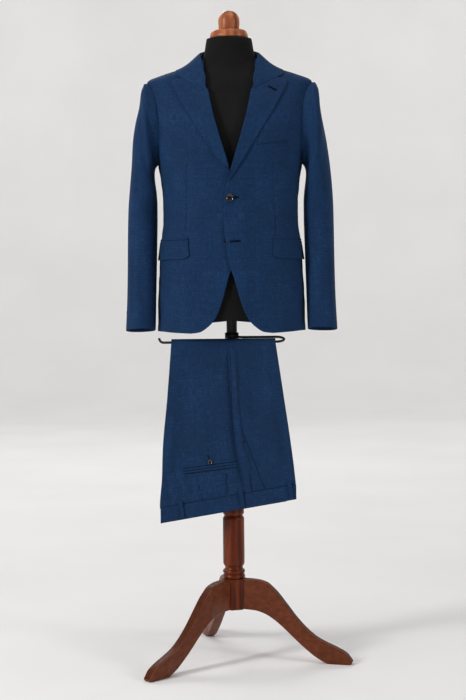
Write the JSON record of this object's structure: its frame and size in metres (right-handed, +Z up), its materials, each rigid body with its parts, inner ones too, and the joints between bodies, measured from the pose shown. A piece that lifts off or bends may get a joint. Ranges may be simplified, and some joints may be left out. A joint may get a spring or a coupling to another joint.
{
  "type": "two-piece suit with dress form stand",
  "caption": "Notch-lapel two-button suit jacket worn on a limbless dress form on a wooden tripod stand, with the matching trousers folded over its rail.",
  "frame": {"origin": "centre of the whole object's box, on the floor that the feet stand on", "axes": "+Z up, -Y towards the front of the jacket, +X towards the wearer's left"},
  "size_m": [0.593, 0.5504, 1.7266],
  "materials": {
    "jacket_wool": "matte",
    "trouser_wool": "matte",
    "button": "glossy",
    "form_cover": "matte",
    "dark_wood": "satin varnish",
    "pole_paint": "satin",
    "rail_steel": "satin"
  },
  "bodies": {
    "root": {"belt_loop_back_left": "trouser_wool", "belt_loop_back_right": "trouser_wool", "belt_loop_front_left": "trouser_wool", "belt_loop_front_right": "trouser_wool", "belt_loop_side_left": "trouser_wool", "belt_loop_side_right": "trouser_wool", "breast_welt": "jacket_wool", "collar": "jacket_wool", "collar_stand": "jacket_wool", "column": "dark_wood", "cuff_button_left_1": "button", "cuff_button_left_2": "button", "cuff_button_left_3": "button", "cuff_button_left_4": "button", "cuff_button_right_1": "button", "cuff_button_right_2": "button", "cuff_button_right_3": "button", "cuff_button_right_4": "button", "form_body": "form_cover", "front_button_lower": "button", "front_button_upper": "button", "hip_button_left": "button", "hip_button_right": "button", "hip_jet_lower_left": "trouser_wool", "hip_jet_lower_right": "trouser_wool", "hip_jet_upper_left": "trouser_wool", "hip_jet_upper_right": "trouser_wool", "hub": "dark_wood", "jacket_back_left": "jacket_wool", "jacket_back_right": "jacket_wool", "jacket_front_left": "jacket_wool", "jacket_front_right": "jacket_wool", "jacket_side_left": "jacket_wool", "jacket_side_right": "jacket_wool", "lapel_left": "jacket_wool", "lapel_right": "jacket_wool", "leg_left": "dark_wood", "leg_rear": "dark_wood", "leg_right": "dark_wood", "neck_cap": "dark_wood", "neck_knob": "dark_wood", "pocket_flap_left": "jacket_wool", "pocket_flap_right": "jacket_wool", "pocket_jet_left": "jacket_wool", "pocket_jet_right": "jacket_wool", "pole": "pole_paint", "top_sleeve_left": "jacket_wool", "top_sleeve_right": "jacket_wool", "trouser_back_left": "trouser_wool", "trouser_back_right": "trouser_wool", "trouser_front_left": "trouser_wool", "trouser_front_right": "trouser_wool", "trouser_rail": "rail_steel", "under_sleeve_left": "jacket_wool", "under_sleeve_right": "jacket_wool", "waistband_left": "trouser_wool", "waistband_right": "trouser_wool"}
  },
  "joints": []
}
